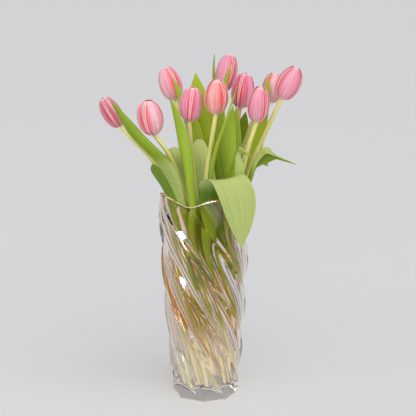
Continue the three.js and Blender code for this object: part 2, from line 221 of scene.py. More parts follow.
def new_group(name, inputs, output):
    """A shader node group with its inputs and their first values, and its one output."""
    group = bpy.data.node_groups.new(name, "ShaderNodeTree")
    for socket, value in inputs.items():
        made = group.interface.new_socket(socket, in_out="INPUT", socket_type="NodeSocketFloat")
        made.default_value = value
    group.interface.new_socket(output, in_out="OUTPUT", socket_type="NodeSocketFloat")
    return group, group.nodes.new("NodeGroupInput").outputs, group.nodes.new("NodeGroupOutput")


def make_line_group():
    """Fine lines that run along a piece: noise drawn out along its UV map, without a seam across it."""
    group, given, result = new_group("lines_along", {"Lines": 20.0, "Stretch": 2.0, "Seed": 0.0}, "Value")
    across, along = uv_of(group)
    turn = maths(group, "MULTIPLY", across, 2 * math.pi)
    reach = maths(group, "DIVIDE", given["Lines"], 2 * math.pi)
    x = maths(group, "MULTIPLY", maths(group, "SINE", turn), reach)
    y = maths(group, "MULTIPLY", maths(group, "COSINE", turn), reach)
    z = maths(group, "MULTIPLY_ADD", along, given["Stretch"], given["Seed"])
    place = add_node(group, "ShaderNodeCombineXYZ", {0: x, 1: y, 2: z}).outputs[0]
    noise = add_node(group, "ShaderNodeTexNoise", {"Vector": place, "Scale": 1.0, "Detail": 3.0})
    set_inputs(group, result, {"Value": noise.outputs[0]})
    return group


def make_height_group():
    """A mask that goes from 0 at one height to 1 at another, both in millimetres above the floor."""
    group, given, result = new_group("fade_by_height", {"Start": 0.0, "End": 100.0}, "Mask")
    place = add_node(group, "ShaderNodeTexCoord").outputs["Object"]
    metres = add_node(group, "ShaderNodeSeparateXYZ", {0: place}).outputs[2]
    height = maths(group, "DIVIDE", metres, MM)
    set_inputs(group, result, {"Mask": ramp(group, height, given["Start"], given["End"])})
    return group


LINES_ALONG = make_line_group()
FADE_BY_HEIGHT = make_height_group()


def lines_along(tree, lines, stretch, seed=0.0):
    inputs = {"Lines": lines, "Stretch": stretch, "Seed": seed}
    return add_node(tree, "ShaderNodeGroup", inputs, node_tree=LINES_ALONG).outputs["Value"]


def fade_by_height(tree, start, end):
    inputs = {"Start": start, "End": end}
    return add_node(tree, "ShaderNodeGroup", inputs, node_tree=FADE_BY_HEIGHT).outputs["Mask"]


def new_material(name):
    material = bpy.data.materials.new(name)
    material.use_nodes = True
    return material, material.node_tree, material.node_tree.nodes["Principled BSDF"]


def let_light_through(tree, shader, tint):
    """Shadow and diffuse rays pass straight through the glass or water, so that what stands in it is lit."""
    path = add_node(tree, "ShaderNodeLightPath")
    passing = maths(tree, "MAXIMUM", path.outputs["Is Shadow Ray"], path.outputs["Is Diffuse Ray"])
    clear = add_node(tree, "ShaderNodeBsdfTransparent", {"Color": tint}).outputs[0]
    mixed = add_node(tree, "ShaderNodeMixShader", {0: passing, 1: shader.outputs[0], 2: clear}).outputs[0]
    set_inputs(tree, tree.nodes["Material Output"], {"Surface": mixed})


PINK_BEIGE = (1.00, 0.81, 0.70, 1)
GREY_BLUE = (0.84, 0.86, 0.88, 1)
CLEAR = (1.00, 0.94, 0.89, 1)
AMBER = (0.62, 0.24, 0.04, 1)
BASE_PINK = (1.00, 0.95, 0.92, 1)  # near the foot
# Painted highlight on the rim: pale where light catches it, amber where it glints.
RIM_HIGHLIGHT = (0.42, 0.34, 0.27, 1)
RIM_GLINT_AMBER = (0.30, 0.12, 0.03, 1)
GLASS_TINT = (0.99, 0.975, 0.95, 1)  # of the light that falls through it
GLASS_IOR = 1.5
FILM_THICKNESS = 113  # nanometres; the film takes most of the mirror shine off the glass
FILM_IOR = 1.22


def lustre_glass():
    material, tree, shader = new_material("lustre_glass")
    broad = lines_along(tree, 26, 2.2, 3.0)
    fine = lines_along(tree, 70, 4.0, 8.0)
    colour = colour_mix(tree, ramp(tree, broad, 0.40, 0.50), GREY_BLUE, PINK_BEIGE)
    colour = colour_mix(tree, ramp(tree, fine, 0.50, 0.62), colour, CLEAR)
    colour = colour_mix(tree, ramp(tree, broad, 0.60, 0.66), colour, AMBER)
    near_foot = maths(tree, "MULTIPLY", fade_by_height(tree, 90, 10), 0.8)
    set_inputs(tree, shader, {
        "Base Color": colour_mix(tree, near_foot, colour, BASE_PINK),
        "Normal": bumped(tree, lines_along(tree, 16, 1.6, 5.0), 1.0, 0.3),
        "Coat Weight": ramp(tree, lines_along(tree, 12, 1.5, 11.0), 0.46, 0.54),
        "Transmission Weight": 1,
        "Roughness": 0.02,
        "IOR": GLASS_IOR,
        "Thin Film Thickness": FILM_THICKNESS,
        "Thin Film IOR": FILM_IOR,
    })
    let_light_through(tree, shader, GLASS_TINT)
    return material


def rim_highlight_glass():
    """The fire-polished edge, with painted highlight: pinkish white where light catches it, amber glints at
    the raised corners.
    """
    material, tree, shader = new_material("rim_highlight_glass")
    turn = maths(tree, "MULTIPLY", uv_of(tree)[0], math.pi * RIBS)
    # Painted amber glints at the raised corners and here and there along the rim.
    corner = ramp(tree, maths(tree, "COSINE", turn), 0.55, 0.95)
    rim_glints = ramp(tree, lines_along(tree, 20, 0.0, 2.0), 0.55, 0.65)
    set_inputs(tree, shader, {
        "Base Color": colour_mix(tree, maths(tree, "MAXIMUM", corner, rim_glints), RIM_HIGHLIGHT, RIM_GLINT_AMBER),
        "Transmission Weight": 0.35,
        "Roughness": 0.08,
        "IOR": GLASS_IOR,
    })
    let_light_through(tree, shader, GLASS_TINT)
    return material


def glass_profile():
    """Rows of the vase's section as (height, inset): from the middle of its underside, out to its foot, up
    its outside, over the rim, down its inside and in to the middle of its floor."""
    count = int((HEIGHT - FOOT_ROUNDING - 2 * RIM_ROUNDING) / GLASS_ROW)
    heights = [FOOT_ROUNDING + GLASS_ROW * i for i in range(count)]
    rows = [(0, None), (0, FOOT_ROUNDING), (0.3 * FOOT_ROUNDING, 0.3 * FOOT_ROUNDING)]
    rows += [(z, 0) for z in heights]
    rows += [(HEIGHT - RIM_ROUNDING, 0), (HEIGHT, 0.3 * RIM_ROUNDING)]
    rows += [(HEIGHT + 0.5 * RIM_ROUNDING, WALL / 2)]
    rows += [(HEIGHT, WALL - 0.3 * RIM_ROUNDING), (HEIGHT - RIM_ROUNDING, WALL)]
    rows += [(z, WALL) for z in reversed(heights) if z > FLOOR + FLOOR_CORNER]
    rows += [(FLOOR + 0.3 * FLOOR_CORNER, WALL + 0.4 * FLOOR_CORNER), (FLOOR, WALL + FLOOR_CORNER)]
    rows += [(FLOOR, None)]
    return rows


def make_vase():
    rows = glass_profile()
    piece = rounded_piece("glass_vase", rows, wall_point)
    finish_mesh(piece, [lustre_glass()], GLASS_CREASE)
    piece.data.materials.append(rim_highlight_glass())
    # The rim's faces take the painted highlight.
    shoulder = (rows.index((HEIGHT - RIM_ROUNDING, 0)) + 0.5) / (len(rows) - 1)
    lip = (rows.index((HEIGHT - RIM_ROUNDING, WALL)) - 0.5) / (len(rows) - 1)
    places = piece.data.uv_layers[0].data
    for face in piece.data.polygons:
        along = sum(places[i].uv.y for i in face.loop_indices) / face.loop_total
        face.material_index = int(shoulder < along < lip)
    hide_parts("vase")
    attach(piece, "root")


make_vase()

# ---------------------------------------------------------------- the water
# Tap water in the lowest quarter of the vase, where the stems stand in it. It fills the vase from wall to
# wall and up to a level top, and isn't fixed to anything.

WATER_LEVEL = 60
WATER_OVERLAP = 0.12  # how far it reaches into the glass, so that no gap of air shows between them
WATER_COLOUR = (0.97, 0.98, 0.95, 1)
WATER_TINT = (0.97, 0.98, 0.97, 1)  # of the light that falls through it
WATER_IOR = 1.33


def clear_water():
    material, tree, shader = new_material("vase_water")
    looks = {"Base Color": WATER_COLOUR, "Transmission Weight": 1, "Roughness": 0, "IOR": WATER_IOR}
    set_inputs(tree, shader, looks)
    let_light_through(tree, shader, WATER_TINT)
    return material


def make_water():
    heights = range(FLOOR + FLOOR_CORNER, WATER_LEVEL, GLASS_ROW)
    rows = [(FLOOR - WATER_OVERLAP, None), (FLOOR - WATER_OVERLAP, FLOOR_CORNER - WATER_OVERLAP)]
    rows += [(z, -WATER_OVERLAP) for z in heights]
    rows += [(WATER_LEVEL, -WATER_OVERLAP), (WATER_LEVEL, None)]
    piece = rounded_piece("water_fill", rows, inner_point)
    finish_mesh(piece, [clear_water()], GLASS_CREASE)
    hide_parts("water")
    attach(piece, "root")


make_water()

# ---------------------------------------------------------------- the stems
# Ten smooth, round, juicy stems, cut off square. Each reaches down almost to the vase's floor, comes out at
# its mouth and ends under its flower. They are pale yellow green, and one is flushed brown-pink at its top.

STEM_RADIUS = 3.1
STEM_TOP_RADIUS = 2.7
STEM_SIDES = 18
STEM_END = 16  # height of the cut end
MOUTH_HEIGHT = 250
GATHER = 0.55  # how near to the middle the cut ends stand, as a share of their places at the mouth
STRAIGHT_BELOW = 40  # how far under the mouth a stem starts to bend
STRAIGHT_ROWS = 8
CURVED_ROWS = 40
CLEARANCE = 0.3  # kept between a stem and its flower
FLUSHED_STEM = 7
ROUTE_STEPS = 24  # between two corners of a route
Tulip = namedtuple("Tulip", "mouth way base tip bud_radius turn opened")
# Each tulip: where its stem passes the mouth of the vase, the points on its way up, the base and the tip of
# its head, the head's radius, how far the head is turned on its stem, and how far its tips stand open.
TULIPS = [
    Tulip((-37, -12), [(-65, -11, 308), (-83, -8, 327)], (-101, -5, 346), (-122, -8, 382), 11.9, 55, 0.1),
    Tulip((-20, -25), [(-41, -29, 314)], (-59, -30, 341), (-68, -36, 383), 15.4, 40, 0.5),
    Tulip((-18, 30), [(-25, 34, 312)], (-34, 38, 370), (-47, 46, 411), 14.1, -30, 0.15),
    Tulip((-9, -14), [(-12, -16, 287), (-15, -19, 319)], (-17, -22, 355), (-12, -24, 397), 14.1, 58, 0.3),
    Tulip((3, -31), [(3, -33, 285), (10, -36, 335)], (15, -38, 367), (17, -42, 409), 14.2, -17, 0.1),
    Tulip((8, 38), [(14, 42, 315)], (23, 46, 379), (35, 54, 425), 13.4, -33, 0.1),
    Tulip((22, 12), [(40, 17, 336)], (45, 20, 363), (52, 22, 406), 13.8, 40, 0.3),
    Tulip((30, -16), [(44, -16, 283), (55, -15, 324)], (64, -14, 352), (69, -18, 396), 13.3, -15, 0.15),
    Tulip((26, 29), [(52, 41, 316), (66, 48, 348)], (83, 52, 363), (90, 60, 400), 13.1, 10, 0.15),
    Tulip((42, 2), [(51, 2, 279), (72, 5, 326)], (95, 8, 376), (114, 8, 415), 14.6, 0, 0.1),
]


def smooth_route(corners):
    """Points close together on the curve through the corners, with the distance walked to each."""
    ends = [2 * corners[0] - corners[1], *corners, 2 * corners[-1] - corners[-2]]
    line = []
    for before, start, stop, after in zip(ends, ends[1:], ends[2:], ends[3:]):
        a, b, c = [math.sqrt((q - p).length) for p, q in ((before, start), (start, stop), (stop, after))]
        leave = ((start - before) / a - (stop - before) / (a + b) + (stop - start) / b) * b
        arrive = ((stop - start) / b - (after - start) / (b + c) + (after - stop) / c) * b
        for step in range(ROUTE_STEPS):
            t = step / ROUTE_STEPS
            bend = (3 * (stop - start) - 2 * leave - arrive) * t * t
            line.append(start + leave * t + bend + (2 * (start - stop) + leave + arrive) * t ** 3)
    line.append(corners[-1])
    walked = [0.0]
    for p, q in zip(line, line[1:]):
        walked.append(walked[-1] + (q - p).length)
    return line, walked


def along_route(route, share):
    """The point and the direction at a share of the route's length."""
    line, walked = route
    distance = share * walked[-1]
    i = 1
    while i < len(line) - 1 and walked[i] < distance:
        i += 1
    part = (distance - walked[i - 1]) / (walked[i] - walked[i - 1])
    before = line[i] - line[i - 1]
    after = line[min(i + 1, len(line) - 1)] - line[max(i - 2, 0)]
    return line[i - 1] + before * part, after.normalized()


def stem_point(tulip, z):
    """A point of the stem's straight part, which stands in the vase."""
    x, y = tulip.mouth
    foot = Vector((x * GATHER, y * GATHER, STEM_END))
    return foot.lerp(Vector((x, y, MOUTH_HEIGHT)), (z - STEM_END) / (MOUTH_HEIGHT - STEM_END))


STEM_PALE = (0.80, 0.72, 0.30, 1)
STEM_GREEN = (0.58, 0.58, 0.15, 1)
STEM_FLUSH = (0.72, 0.47, 0.24, 1)
STEM_VASE_SHADED = (0.27, 0.26, 0.004, 1)  # painted shade: darker and golden where the vase's tinted glass shades the stems, in its upper part
STEM_SOAKED = (0.75, 0.73, 0.53, 1)  # in the water and just above it
VASE_SHADE_HEIGHTS = (262, 240)  # heights between which painted shade from the vase's tinted glass darkens stems and leaves
IN_WATER = (107, 55)  # and to those in the water


def stem_skin(name, top):
    """A stem's skin, which turns to the top colour under the flower."""
    material, tree, shader = new_material(name)
    lines = lines_along(tree, 24, 5)
    colour = colour_mix(tree, ramp(tree, lines, 0.35, 0.7), STEM_GREEN, STEM_PALE)
    colour = colour_mix(tree, ramp(tree, uv_of(tree)[1], 0.75, 1.0), colour, top)
    # Painted shade where the stem stands within the vase.
    colour = colour_mix(tree, fade_by_height(tree, *VASE_SHADE_HEIGHTS), colour, STEM_VASE_SHADED)
    set_inputs(tree, shader, {
        "Base Color": colour_mix(tree, fade_by_height(tree, *IN_WATER), colour, STEM_SOAKED),
        "Normal": bumped(tree, lines, 0.15, 0.3),
        "Roughness": 0.42,
        "Specular IOR Level": 0.2,
        "Subsurface Weight": 0.15,
        "Subsurface Scale": 1.5 * MM,
        "Subsurface Radius": (1, 1, 0.4),
    })
    return material


def make_stem(name, tulip, skin):
    base, tip = Vector(tulip.base), Vector(tulip.tip)
    top = base + (base - tip).normalized() * CLEARANCE
    foot = stem_point(tulip, STEM_END)
    bend_start = stem_point(tulip, MOUTH_HEIGHT - STRAIGHT_BELOW)
    curve = smooth_route([bend_start, stem_point(tulip, MOUTH_HEIGHT), *map(Vector, tulip.way), top])
    upwards = (bend_start - foot).normalized()
    rings = [(foot, 0, upwards)]
    for i in range(STRAIGHT_ROWS):
        rings.append((foot.lerp(bend_start, i / STRAIGHT_ROWS), STEM_RADIUS, upwards))
    for i in range(CURVED_ROWS + 1):
        point, direction = along_route(curve, i / CURVED_ROWS)
        rings.append((point, mix(STEM_RADIUS, STEM_TOP_RADIUS, i / CURVED_ROWS), direction))
    rings.append((top, 0, (tip - base).normalized()))

    def place(across, along):
        point, radius, direction = rings[round(along * (len(rings) - 1))]
        side = Vector((0, 1, 0)).cross(direction).normalized()
        other = direction.cross(side)
        turn = 2 * math.pi * across
        return point + (side * math.cos(turn) + other * math.sin(turn)) * radius

    piece = wrapped_grid(f"stalk_{name}", STEM_SIDES, len(rings) - 1, place)
    finish_mesh(piece, [skin])
    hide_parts(f"stem_{name}")
    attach(piece, "root")


green_skin = stem_skin("stem_skin", STEM_PALE)
flushed_skin = stem_skin("stem_skin_flushed", STEM_FLUSH)
for number, tulip in enumerate(TULIPS, start=1):
    make_stem(f"{number:02d}", tulip, flushed_skin if number == FLUSHED_STEM else green_skin)

# ---------------------------------------------------------------- the leaves
# Broad, fleshy leaves with fine veins side by side and no thick midrib. The face is a deeper green and the
# back has a pale bloom. Each grows from its stem inside the vase and wraps its foot round it, then opens out
# above the mouth. Some stand, and some arch, hang or curl.

LEAF_THICKNESS = 0.8
SHEATH_GAP = 0.45  # between a stem and the sheath round it
SHEATH_HALF_WIDTH = 7.7
SHEATH_STRAIGHT = 20  # how far a sheath follows its stem before it goes its own way
TIP_HALF_WIDTH = 0.3
LEAF_COLUMNS = 16
LEAF_ROW = 2.5  # between two rows along a leaf, about
# What all leaves share, unless one has its own value. Along a leaf, 0 is its foot and 1 its tip. Its section
# bends through the angle sheath_fold round the stem. It opens and swells from opens_from and swell_from on,
# turns round between faces_from and faces_by, and goes over on its side, by the angle on_side, between
# side_from and side_by. A higher taper keeps it broad for longer towards its tip.
LEAF = dict(
    sheath_fold=200, opens_from=0, swell_from=0.2, taper=2.1, faces_from=0.2, faces_by=1,
    on_side=0, side_from=0.45, side_by=0.8, face="mid", under="pale")
# Each leaf: the stem it clasps, counted from 1, the height where its sheath starts, the bearing that its
# back faces there and at the tip, its full width and where that is, the angle its section bends through once
# it is open and where that is, the tones of its face and its underside, and the way of its middle line from
# the mouth to the tip. One that is drawn in to a thin tail has half the tail's width and where that starts.
LEAVES = {
    "left_long": dict(
        stem=2, sheath=205, back=-50, back_at_tip=-25, width=31, widest=0.5, fold=85, opens=0.55,
        face="deep", under="turned",
        way=[(-30, -34, 256), (-38, -37, 279), (-50, -41, 304), (-65, -43, 322), (-79, -40, 338),
             (-90, -34, 353), (-101, -28, 368), (-111, -25, 382)]),
    "left_low": dict(
        stem=1, sheath=190, back=-60, back_at_tip=-30, width=26, widest=0.85, fold=60, opens=0.8,
        face="deep", under="deep",
        way=[(-42, -18, 256), (-46, -20, 272), (-53, -21, 286), (-62, -20, 302)]),
    "front_long": dict(
        stem=2, sheath=140, back=20, back_at_tip=-15, width=16, widest=0.7, fold=80, opens=0.85,
        opens_from=0.45, face="mid", under="mid",
        way=[(-13, -44, 258), (-16, -46, 279), (-18, -45, 299), (-22, -42, 323), (-27, -38, 347),
             (-33, -37, 368), (-40, -36, 388)]),
    "back_pointed": dict(
        stem=3, sheath=200, back=38, back_at_tip=-10, width=20, widest=0.6, fold=60, opens=0.5,
        face="mid", under="bright",
        way=[(-6, 15, 258), (-6, 15, 301), (-10, 14, 332), (-19, 11, 358), (-28, 9, 382), (-36, 8, 402)]),
    "back_left": dict(
        stem=3, sheath=150, back=-80, back_at_tip=0, width=36, widest=0.7, fold=50, opens=0.65,
        swell_from=0.52, on_side=20, face="pale", under="pale",
        way=[(-27, 23, 256), (-32, 17, 280), (-37, 12, 297), (-39, 15, 309), (-40, 23, 313),
             (-41, 30, 307)]),
    "middle_arch": dict(
        stem=4, sheath=150, back=153, back_at_tip=180, width=40, widest=0.64, fold=8, opens=0.6,
        swell_from=0.4, face="pale", under="pale",
        way=[(-3, -2, 258), (-5, -4, 285), (-5, -5, 309), (-5, -1, 323), (-5, 5, 327), (-5, 9, 323)]),
    "back_wide": dict(
        stem=6, sheath=150, back=-27, back_at_tip=0, width=31, widest=0.76, fold=50, opens=0.6,
        face="yellow", under="yellow",
        way=[(2, 26, 256), (3, 25, 284), (1, 25, 322), (-2, 26, 360), (-7, 26, 385), (-9, 26, 406)]),
    "back_blade": dict(
        stem=6, sheath=205, back=63, back_at_tip=60, width=15, widest=0.5, fold=70, opens=0.5,
        face="mid", under="mid",
        way=[(21, 34, 260), (24, 33, 312), (20, 32, 362), (14, 32, 399), (14, 31, 429)]),
    "right_blade": dict(
        stem=7, sheath=150, back=-60, back_at_tip=-20, width=18, widest=0.4, fold=60, opens=0.5,
        face="mid", under="mid",
        way=[(11.4, 9, 256), (16.4, 7.4, 288), (20, 6, 347), (22, 8, 377), (28, 12, 401), (36, 18, 420)]),
    "right_front": dict(
        stem=8, sheath=160, back=-140, back_at_tip=10, width=26, widest=0.55, fold=50, opens=0.45,
        swell_from=0.4, face="mid", under="mid",
        way=[(24, -12, 258), (26, -12, 290), (29, -12, 320), (33, -10, 345), (36, -6, 371)]),
    "right_pale": dict(
        stem=7, sheath=212, back=42, back_at_tip=10, width=18, widest=0.62, fold=30, opens=0.6,
        face="bright", under="bright",
        way=[(29, 1.6, 260), (35, 4.6, 285), (38, 6, 310), (39, 6, 335), (40, 7, 368)]),
    "narrow_front": dict(
        stem=5, sheath=205, back=76, back_at_tip=60, width=13, widest=0.45, fold=80, opens=0.5,
        face="mid", under="bright",
        way=[(11, -33, 256), (11, -34, 288), (13, -38, 308), (17, -44, 327), (24, -50, 349), (30, -53, 368),
             (35, -54, 386), (40, -54, 402)]),
    "drooping": dict(
        stem=5, sheath=150, back=20, back_at_tip=10, width=45, widest=0.68, fold=35, opens=0.6, on_side=8,
        face="deep", under="arching",
        way=[(10, -42, 256), (12, -45, 274), (18, -51, 288), (29, -58, 290), (38, -63, 275), (43, -64, 250),
             (45, -62, 208)]),
    "small_curl": dict(
        stem=8, sheath=222, back=17, back_at_tip=-40, width=25, widest=0.6, fold=100, opens=0.3,
        sheath_fold=170, swell_from=0.25, taper=0.9, faces_by=0.8, on_side=50, face="mid", under="rolling",
        way=[(33, -25, 257), (37, -30, 283), (38, -33, 304), (39, -36, 318), (43, -40, 324), (50, -41, 320),
             (57, -39, 314)]),
    "right_curl": dict(
        stem=10, sheath=210, back=20, back_at_tip=-90, width=46, widest=0.73, fold=200, opens=0.5,
        opens_from=0.3, sheath_fold=180, swell_from=0.55, narrow=4, narrow_by=0.84, faces_by=0.45,
        on_side=50, side_from=0.45, side_by=0.62, face="deep", under="rolling",
        way=[(42, -9, 257), (50, -12, 272), (56, -13, 288), (61, -13, 303), (68, -12, 314), (78, -11, 317),
             (87, -9, 310), (113, 0, 296)]),
    "right_tall": dict(
        stem=10, sheath=150, back=200, back_at_tip=175, width=20, widest=0.6, fold=55, opens=0.6,
        face="yellow", under="yellow",
        way=[(38, 15, 256), (43, 16, 272), (57, 17, 298), (66, 19, 325), (73, 23, 356), (78, 27, 381),
             (81, 29, 403)]),
    "right_back": dict(
        stem=9, sheath=185, back=146, back_at_tip=170, width=22, widest=0.8, fold=100, opens=0.6,
        face="mid", under="mid",
        way=[(31, 35, 256), (36, 41, 276), (43, 49, 302), (49, 53, 332), (53, 52, 352)]),
}
# The leaf's colour between its veins and on them, and where they differ the same two near its tip.
LEAF_TONES = {
    "deep": ((0.11, 0.20, 0.004, 1), (0.19, 0.29, 0.010, 1)),
    "mid": ((0.22, 0.33, 0.012, 1), (0.33, 0.45, 0.035, 1)),
    "bright": ((0.30, 0.43, 0.018, 1), (0.44, 0.55, 0.06, 1)),
    "yellow": ((0.31, 0.42, 0.010, 1), (0.45, 0.54, 0.03, 1)),
    "pale": ((0.46, 0.55, 0.16, 1), (0.58, 0.65, 0.24, 1)),
    "turned": (
        (0.27, 0.36, 0.07, 1), (0.40, 0.49, 0.14, 1), (0.15, 0.25, 0.003, 1), (0.25, 0.35, 0.01, 1)),
    # Painted shade: dark where the drooping leaf rises in the shade under its arch; pale with bloom where it
    # hangs, partly painted light from above.
    "arching": (
        (0.06, 0.13, 0.002, 1), (0.11, 0.20, 0.004, 1), (0.34, 0.42, 0.11, 1), (0.44, 0.51, 0.18, 1)),
    "rolling": (
        (0.19, 0.30, 0.012, 1), (0.28, 0.40, 0.03, 1), (0.42, 0.50, 0.12, 1), (0.52, 0.58, 0.20, 1)),
}
HALF_TONED = ("rolling",)  # the tip's tones lie on one side of the middle only
# Painted shade: a leaf's colour where the vase's tinted glass shades it.
LEAF_VASE_SHADED = (0.17, 0.25, 0.002, 1)
BLOOM_WHITE = 0.75  # what the pale bloom mixes into the veins' colour


def leaf_skin(tone):
    """One side of a leaf. The length of the tone's name is the seed of its veins."""
    between, vein, *tip_tones = LEAF_TONES[tone]
    material, tree, shader = new_material(f"leaf_{tone}")
    across, along = uv_of(tree)
    veins = lines_along(tree, 110, 2.0, len(tone))
    broad = lines_along(tree, 14, 1.5, 4.0)
    colours = (between, vein)
    if tip_tones:
        grown = ramp(tree, along, 0.50, 0.60)
        if tone in HALF_TONED:
            grown = maths(tree, "MULTIPLY", grown, ramp(tree, across, 0.47, 0.53))
        colours = [colour_mix(tree, grown, low, tip) for low, tip in zip(colours, tip_tones)]
    colour = colour_mix(tree, ramp(tree, veins, 0.35, 0.68), *colours)
    bloom = (*(mix(channel, BLOOM_WHITE, 0.25) for channel in vein[:3]), 1)
    colour = colour_mix(tree, ramp(tree, broad, 0.45, 0.75, 0.0, 0.25), colour, bloom)
    # Painted shade on the part of a leaf that stands within the vase.
    vase_shade = maths(tree, "MULTIPLY", fade_by_height(tree, *VASE_SHADE_HEIGHTS), ramp(tree, along, 0.6, 0.5))
    set_inputs(tree, shader, {
        "Base Color": colour_mix(tree, vase_shade, colour, LEAF_VASE_SHADED),
        "Normal": bumped(tree, veins, 0.35, 0.25),
        "Roughness": 0.5,
        "Specular IOR Level": 0.2,
        "Subsurface Weight": 0.12,
        "Subsurface Scale": 1.2 * MM,
        "Subsurface Radius": (0.8, 1, 0.3),
    })
    return material


def leaf_half_width(leaf, s):
    """Half the leaf's width at a share of its length: a narrow sheath, a long swell and a pointed tip."""
    half = leaf["width"] / 2
    if s < leaf["widest"]:
        return mix(SHEATH_HALF_WIDTH, half, smoothstep(s, leaf["swell_from"], leaf["widest"]))
    if "narrow_by" in leaf:
        waist = mix(half, leaf["narrow"], smoothstep(s, leaf["widest"], leaf["narrow_by"]))
        return max(waist * min(1, (1 - s) / (1 - leaf["narrow_by"])), TIP_HALF_WIDTH)
    past = (s - leaf["widest"]) / (1 - leaf["widest"])
    return max(half * (1 - past ** leaf["taper"]), TIP_HALF_WIDTH)


def thicken(piece, thickness):
    """Gives a sheet its thickness; its back takes the piece's second material."""
    select_only(piece)
    wall = piece.modifiers.new("wall", "SOLIDIFY")
    wall.thickness = thickness * MM
    wall.offset = 0
    wall.material_offset = 1
    bpy.ops.object.modifier_apply(modifier=wall.name)


def make_leaf(name, shape, skins):
    leaf = {**LEAF, **shape}
    tulip = TULIPS[leaf["stem"] - 1]
    out = bearing(leaf["back"]) * (STEM_RADIUS + SHEATH_GAP + LEAF_THICKNESS)
    sheath = [stem_point(tulip, z) + out for z in (leaf["sheath"], leaf["sheath"] + SHEATH_STRAIGHT)]
    route = smooth_route([*sheath, *map(Vector, leaf["way"])])

    def place(across, along):
        middle, direction = along_route(route, along)
        turned = smoothstep(along, leaf["faces_from"], leaf["faces_by"])
        facing = mix(leaf["back"], leaf["back_at_tip"], turned)
        side = math.radians(leaf["on_side"]) * smoothstep(along, leaf["side_from"], leaf["side_by"])
        sideways = bearing(facing + 90) * math.cos(side) + Vector((0, 0, math.sin(side)))
        inward = direction.cross(sideways).normalized()
        opened = smoothstep(along, leaf["opens_from"], leaf["opens"])
        bend = math.radians(mix(leaf["sheath_fold"], leaf["fold"], opened)) / 2
        radius = leaf_half_width(leaf, along) / bend
        turn = (2 * across - 1) * bend
        return middle + sideways * radius * math.sin(turn) + inward * radius * (1 - math.cos(turn))

    length = route[1][-1]
    piece = wrapped_grid(f"blade_{name}", LEAF_COLUMNS, round(length / LEAF_ROW), place)
    thicken(piece, LEAF_THICKNESS)
    finish_mesh(piece, [skins[leaf["under"]], skins[leaf["face"]]])
    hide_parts(f"leaf_{name}")
    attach(piece, "root")


leaf_skins = {tone: leaf_skin(tone) for tone in LEAF_TONES}
for name, shape in LEAVES.items():
    make_leaf(name, shape, leaf_skins)

# ---------------------------------------------------------------- the flowers
# Ten tulip heads in bud, each of three outer petals with three more inside them. The petals are thin, satin
# pink sheets with cream bases, pale flames up the middle, deeper margins and light edges and tips, whose
# light is partly painted highlight. All six grow from the top of the stem.

PETALS = 6  # the even ones are the outer three
PETAL_THICKNESS = 0.6
PETAL_HALF_ANGLE = 59  # round the bud
PETAL_COLUMNS = 14
PETAL_ROWS = 26
EGG_START = 0.07  # of a half turn, left out at each end of the bud's egg-shaped outline
# A petal's length in bud lengths, how far it lies inside the bud's outline, how much further round the top
# its tip reaches than in the plain solid, how far it leans out there on a bud that stands fully open, how
# much it narrows and how blunt it is towards its tip, and how far its edges fall short of the tip.
Petal = namedtuple("Petal", "length inset closing flare narrowing bluntness cusp")
OUTER_PETAL = Petal(1, PETAL_THICKNESS / 2, 0.05, 4, 0.24, 14, 0.07)
INNER_PETAL = Petal(0.97, 1.3, 0.066, 0.4, 0.02, 30, 0)
# The petals' main colour, the flame up their middle and the margin, for each tone.
PETAL_TONES = {
    "mauve": ((0.56, 0.11, 0.18, 1), (0.74, 0.33, 0.40, 1), (0.50, 0.02, 0.05, 1)),
    "shell": ((0.76, 0.22, 0.31, 1), (0.86, 0.54, 0.60, 1), (0.74, 0.05, 0.06, 1)),
    "pink": ((0.70, 0.17, 0.29, 1), (0.80, 0.40, 0.52, 1), (0.74, 0.05, 0.08, 1)),
    "coral": ((0.80, 0.17, 0.18, 1), (0.86, 0.44, 0.42, 1), (0.80, 0.05, 0.03, 1)),
    "crimson": ((0.66, 0.08, 0.19, 1), (0.82, 0.30, 0.44, 1), (0.62, 0.01, 0.04, 1)),
}
HEAD_TONES = ["mauve", "shell", "shell", "pink", "coral", "pink", "crimson", "pink", "shell", "pink"]
CREAM = (0.86, 0.80, 0.60, 1)
EDGE_AND_HIGHLIGHT = (0.97, 0.72, 0.69, 1)  # pale rim and tip of a petal, partly its own colour and partly painted highlight where light catches it


def petal_skin(tone):
    """A petal's skin. The length of the tone's name is the seed of its lines."""
    main, flame, margin = PETAL_TONES[tone]
    material, tree, shader = new_material(f"petal_{tone}")
    across, along = uv_of(tree)
    from_middle = maths(tree, "ABSOLUTE", maths(tree, "MULTIPLY_ADD", across, 2.0, -1.0))
    lines = lines_along(tree, 40, 1.2, len(tone))
    frayed = maths(tree, "MULTIPLY_ADD", lines, 0.5, from_middle)
    colour = colour_mix(tree, ramp(tree, frayed, 0.25, 0.95), flame, main)
    colour = colour_mix(tree, ramp(tree, along, 0.50, 0.10, 0.0, 0.6), colour, flame)
    colour = colour_mix(tree, ramp(tree, lines, 0.50, 0.62, 0.0, 0.55), colour, margin)
    # Pale streaks, rims and tips: partly the petal's own colour, partly painted highlight.
    colour = colour_mix(tree, ramp(tree, lines, 0.46, 0.34, 0.0, 0.6), colour, EDGE_AND_HIGHLIGHT)
    colour = colour_mix(tree, ramp(tree, along, 0.84, 0.97, 0.0, 0.75), colour, EDGE_AND_HIGHLIGHT)
    colour = colour_mix(tree, ramp(tree, frayed, 0.96, 1.10), colour, margin)
    colour = colour_mix(tree, ramp(tree, from_middle, 0.92, 0.97, 0.0, 0.9), colour, EDGE_AND_HIGHLIGHT)
    set_inputs(tree, shader, {
        "Base Color": colour_mix(tree, ramp(tree, along, 0.16, 0.02), colour, CREAM),
        "Normal": bumped(tree, lines, 0.3, 0.25),
        "Roughness": 0.45,
        "Sheen Weight": 0.15,
        "Subsurface Weight": 0.2,
        "Subsurface Scale": 1.5 * MM,
        "Subsurface Radius": (1, 0.35, 0.35),
    })
    return material


